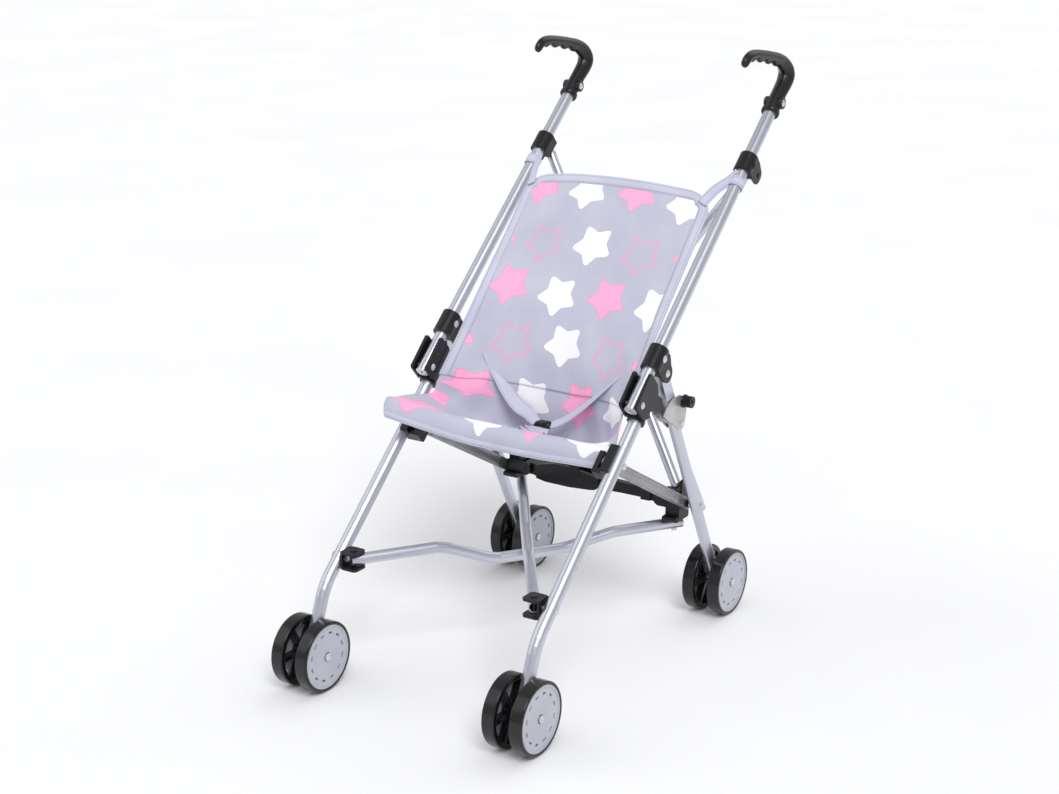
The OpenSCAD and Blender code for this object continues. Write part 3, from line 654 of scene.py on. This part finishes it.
def make_crotch():
    points = smooth_path([(-22.0, 172.0, 222.0), (-16.0, 183.0, 213.0),
                          (-8.0, 195.0, 210.5), (-2.0, 206.0, 212.0), (0.0, 214.5, 213.0)], 90)
    turn = np.linspace(0, 1, len(points))
    half = 0.0150 - 0.004 * smoothstep(0.6, 1.0, turn)
    lifted = points.copy()
    lifted[:, 2] += 0.40 * np.sin(turn * 56) * smoothstep(0.25, 0.4, turn)
    strap = strip("crotch_strap_webbing", [leg_point(*p) for p in lifted],
                  np.tile([1.0, 0.1, 0.0], (len(points), 1)), half, 0.0014, STRAP)
    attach(strap, "harness_buckle")
    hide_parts("crotch_strap")
    return strap


def rounded_box(name, size, radius, material, place):
    """A block with rounded edges, size in millimetres, at the given matrix."""
    bm = bmesh.new()
    bmesh.ops.create_cube(bm, size=1.0)
    bmesh.ops.scale(bm, vec=Vector(size) * MM, verts=bm.verts)
    bmesh.ops.bevel(bm, geom=bm.edges[:], offset=radius * MM, segments=4, affect="EDGES")
    mesh = bpy.data.meshes.new(name)
    bm.to_mesh(mesh)
    bm.free()
    mesh.transform(place)
    mesh.materials.append(material)
    mesh.shade_smooth()
    obj = bpy.data.objects.new(name, mesh)
    bpy.context.scene.collection.objects.link(obj)
    return obj


def make_buckle():
    at = leg_point(0, 219.0, 215.5)
    tilt = Matrix.Translation(at) @ Matrix.Rotation(math.radians(15), 4, "X")
    shell = rounded_box("harness_buckle_shell", (20, 10, 4), 1.4, BLACK, tilt)
    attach(shell, "harness_buckle")
    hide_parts("buckle")
    for side in (-1, 1):
        prong = rounded_box("buckle_prong_left" if side > 0 else "buckle_prong_right",
                            (4.5, 6.5, 2.6), 0.9, BLACK,
                            tilt @ Matrix.Translation(Vector((side * 11.0, 0, 0)) * MM))
        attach(prong, "harness_buckle")


TIE_HALF = 0.0051  # half the width of a tie strap; half the least width that a sheet may have, and a little more
TIE_T = 0.0012
TIE_ALONG = 258  # where the loops go round the handles


def make_ties():
    """Straps that hang the sling's top corners from the handle tubes, below the clips."""
    c, s = math.cos(HANDLE_ANGLE), math.sin(HANDLE_ANGLE)
    for side, who in ((-1, "right"), (1, "left")):
        ring = [tuple(handle_point(side, TIE_ALONG, (TUBE_R + 0.9) * math.sin(a),
                                   (TUBE_R + 0.9) * math.cos(a)))
                for a in np.radians(np.linspace(0, 352, 60))]
        loop = strip(f"tie_loop_{who}", ring, np.tile([0.0, c, s], (len(ring), 1)),
                     TIE_HALF, TIE_T, HEM)
        lead = smooth_path([(side * 97.0, 346.0, 419.0), (side * 102.5, 362.0, 430.0),
                            (side * 110.5, 380.0, 438.5), (side * 116.0, 384.0, 445.0)], 60)
        ahead = np.gradient(lead, axis=0)
        across = np.cross(ahead, np.tile([0.35 * side, -0.6, 0.7], (len(lead), 1)))
        tie = strip(f"tie_strap_{who}", [leg_point(*p) for p in lead], across,
                    TIE_HALF, TIE_T, HEM)
        for piece, long in ((loop, 2 * math.pi * (TUBE_R + 0.9) * MM),
                            (tie, length_of(lead))):
            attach(piece, f"handle_{who}")


# ---- grips ----

GRIP_SPINE = [(349, 0), (362, 0), (374, 0), (388, -0.5), (396.5, 2), (399.5, 10),
              (395, 24), (385, 39), (370.4, 57.5), (357.5, 72.0), (347.5, 78.6),
              (336.5, 78.6)]
GRIP_HALF = [8.1, 8.3, 8.2, 8.8, 9.2, 8.7, 7.0, 6.1, 5.7, 5.4, 5.1, 4.4]


def make_grip(side, who):
    line = smooth_path(GRIP_SPINE, 130)
    knots = even_share(GRIP_SPINE)
    turn = np.linspace(0, 1, len(line))
    half = np.interp(turn, knots, GRIP_HALF)
    ahead = np.gradient(line, axis=0)
    ahead /= np.linalg.norm(ahead, axis=1)[:, None]
    left = np.stack([-ahead[:, 1], ahead[:, 0]], 1)
    rings = []
    for i, p in enumerate(line):
        wave = 1.15 * math.cos((turn[i] - 0.52) * 2 * math.pi / 0.118)
        wave *= float(smoothstep(0.47, 0.55, turn[i]) * smoothstep(0.93, 0.86, turn[i]))
        end = math.sqrt(max(0.0, 1 - max(0.0, (turn[i] - 0.965) / 0.035) ** 2))
        start = 1.0 if turn[i] > 0.01 else 0.93
        ring = []
        for k in range(28):
            a = 2 * math.pi * k / 28
            flat = 1 - 0.10 * abs(math.sin(2 * a)) ** 2
            inner = half[i] + (wave if math.cos(a) > 0 else 0.0) * math.cos(a)
            wide = (half[i] * 0.98 if turn[i] < 0.22 else
                    half[i] * (0.98 - 0.06 * float(smoothstep(0.22, 0.4, turn[i]))))
            b = inner * math.cos(a) * flat * end * start
            c = wide * math.sin(a) * flat * end * start
            q = p + left[i] * b
            ring.append(handle_point(side, q[0], q[1], c))
        rings.append(ring if side > 0 else ring[::-1])
    grip = loft(f"hook_grip_{who}", rings, None, GRIP)
    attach(grip, f"handle_{who}")
    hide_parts(f"grip_{who}")
    collar_rings = []
    for along, r in ((347.6, 7.9), (347.6, 8.7), (348.4, 9.1), (351.6, 9.1), (352.6, 8.7),
                     (353.2, 8.0)):
        collar_rings.append(circle_ring(side, along, r))
    collar = loft(f"grip_collar_{who}", collar_rings, None, GRIP)
    boss_rings = []
    for out, r in ((-9.4, 4.4), (-9.6, 5.4), (-9.0, 6.0), (9.0, 6.0), (9.6, 5.4), (9.4, 4.4)):
        boss_rings.append([handle_point(side, 362 + r * math.cos(a), r * math.sin(a), out)
                           for a in np.linspace(0, 2 * math.pi, 33)[:-1]])
    boss = loft(f"grip_boss_{who}", boss_rings, None, GRIP)
    for piece in (collar, boss):
        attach(piece, f"handle_{who}")


def even_share(points):
    """How far along its line each of the points is, from 0 to 1."""
    p = np.array(points, float)
    far = np.concatenate([[0], np.cumsum(np.linalg.norm(np.diff(p, axis=0), axis=1))])
    return far / far[-1]


def circle_ring(side, along, r, count=40):
    return [handle_point(side, along, r * math.cos(a), r * math.sin(a))
            for a in np.linspace(0, 2 * math.pi, count + 1)[:-1]]


# ---- studio ----

def make_studio():
    size = 40.0
    floor = mesh_object("studio_floor", [(-size, -size, -0.0004), (size, -size, -0.0004),
                                         (size, size, -0.0004), (-size, size, -0.0004)],
                        [(0, 1, 2, 3)], smooth=False)
    m, bsdf = new_material("pale_floor")
    links = m.node_tree.links
    tone = ranged(m, noise_node(m, 3.0), 0, 1)
    links.new(mixed(m, tone, (0.93, 0.93, 0.94), (0.90, 0.90, 0.91)),
              bsdf.inputs["Base Color"])
    bsdf.inputs["Roughness"].default_value = 0.85
    floor.data.materials.append(m)

    world = bpy.data.worlds.new("studio_world")
    bpy.context.scene.world = world
    world.use_nodes = True
    back = world.node_tree.nodes["Background"]
    back.inputs["Color"].default_value = (0.97, 0.98, 1.0, 1)
    back.inputs["Strength"].default_value = 0.58
    bpy.context.scene.view_settings.view_transform = "Standard"

    for name, place, energy, spread in (
            ("key", (1.7, -1.6, 2.6), 1.55, 28), ("fill", (-2.1, -1.1, 1.6), 0.45, 50),
            ("rear", (0.3, 2.0, 1.9), 0.40, 45)):
        lamp = bpy.data.lights.new(name, "SUN")
        lamp.energy = energy
        lamp.angle = math.radians(spread)
        obj = bpy.data.objects.new(name, lamp)
        obj.location = place
        obj.rotation_euler = (-Vector(place)).to_track_quat("-Z", "Y").to_euler()
        bpy.context.scene.collection.objects.link(obj)

    camera = bpy.data.cameras.new("camera")
    camera.lens = 63.7
    camera.sensor_width = 36
    eye = bpy.data.objects.new("camera", camera)
    eye.location = Vector((910.8, -1455.4, 765.7)) * MM
    eye.rotation_euler = (math.radians(90 - 17.03), 0, math.radians(32.71))
    bpy.context.scene.collection.objects.link(eye)
    bpy.context.scene.camera = eye


paint_cad()
soft = make_sling()
soft += make_straps()
soft.append(make_crotch())
make_buckle()
make_ties()
make_grip(-1, "right")
make_grip(1, "left")
for piece in soft:
    if piece.name != "crotch_strap_webbing":
        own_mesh(piece)
make_studio()
